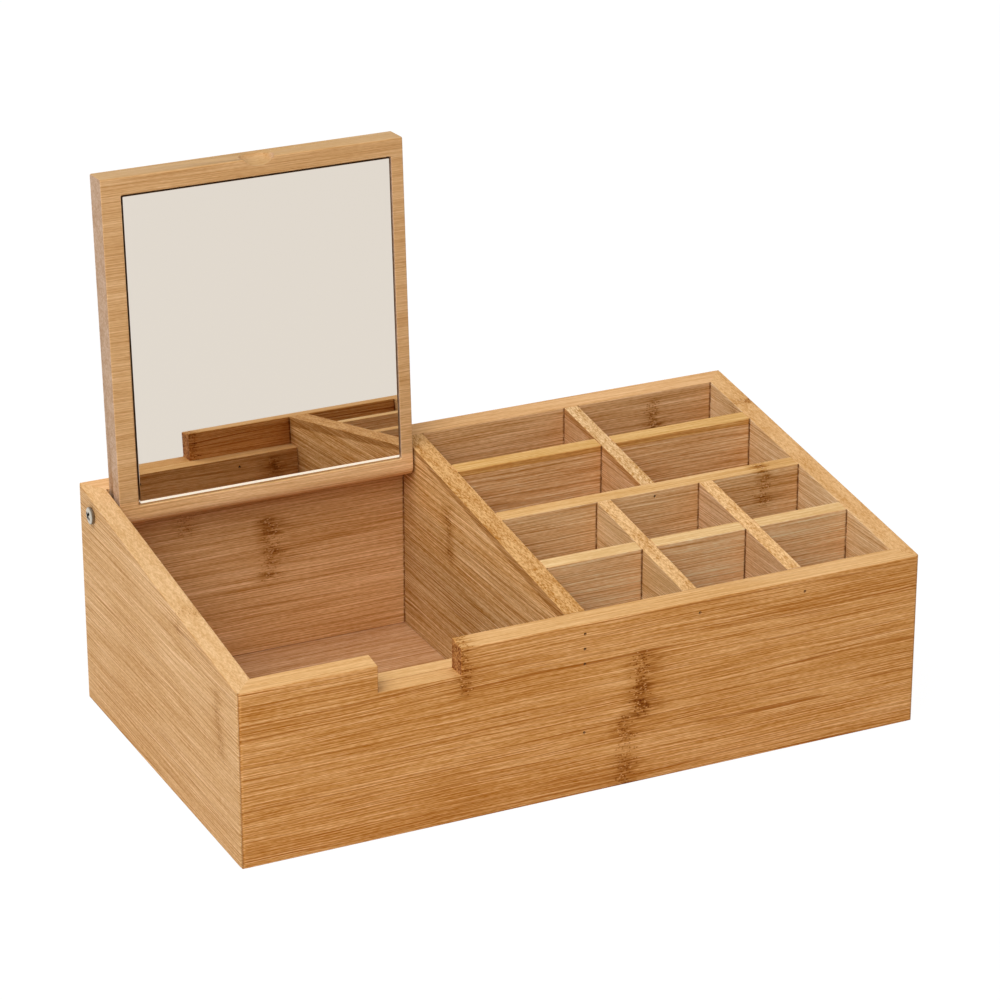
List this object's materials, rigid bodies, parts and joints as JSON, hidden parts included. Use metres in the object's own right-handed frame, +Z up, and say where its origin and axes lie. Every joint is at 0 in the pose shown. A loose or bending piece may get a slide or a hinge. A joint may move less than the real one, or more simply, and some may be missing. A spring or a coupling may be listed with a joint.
{
  "type": "vanity box with mirror",
  "caption": "Sloping open bamboo box with small compartments on the right and a hinged lid with a mirror over a wide compartment on the left.",
  "frame": {"origin": "centre of the underside, on the surface that the box stands on", "axes": "+X to the right as seen by the user, +Y from the front to the back, +Z up; the lid is stored open, leaning back against the back panel"},
  "size_m": [0.3021, 0.171, 0.2298],
  "materials": {
    "panel_bamboo": "satin, caramel bamboo with fine straight fibres and darker node bands",
    "divider_bamboo": "satin, caramel bamboo with fine straight fibres",
    "base_bamboo": "satin, caramel bamboo with fine straight fibres",
    "lid_bamboo": "satin, caramel bamboo with fine straight fibres",
    "mirror": "polished, silvered on the back",
    "foam_tape": "matt",
    "screw_steel": "bright nickel plate",
    "brad_steel": "dull"
  },
  "bodies": {
    "box": {"front_panel": "panel_bamboo", "back_panel": "panel_bamboo", "left_side_panel": "panel_bamboo", "right_side_panel": "panel_bamboo", "base_panel": "base_bamboo", "middle_divider": "divider_bamboo", "lid_rest_strip": "divider_bamboo", "row_divider_front": "divider_bamboo", "row_divider_middle": "divider_bamboo", "row_divider_rear": "divider_bamboo", "column_divider_front_left": "divider_bamboo", "column_divider_front_right": "divider_bamboo", "column_divider_rear": "divider_bamboo", "front_panel_brads": "brad_steel", "back_panel_brads": "brad_steel", "side_panel_brads": "brad_steel", "row_divider_brads": "brad_steel", "rest_strip_brads": "brad_steel"},
    "lid": {"lid_board": "lid_bamboo", "mirror_glass": "mirror", "mirror_tape_strips": "foam_tape", "left_pivot_screw": "screw_steel", "right_pivot_screw": "screw_steel"}
  },
  "joints": [
    {"name": "lid_hinge", "type": "hinge", "parent": "box", "child": "lid", "pos_m": [-0.07425, 0.0698, 0.08838], "axis": [1, 0, 0], "range_deg": [0, 101.05]}
  ]
}
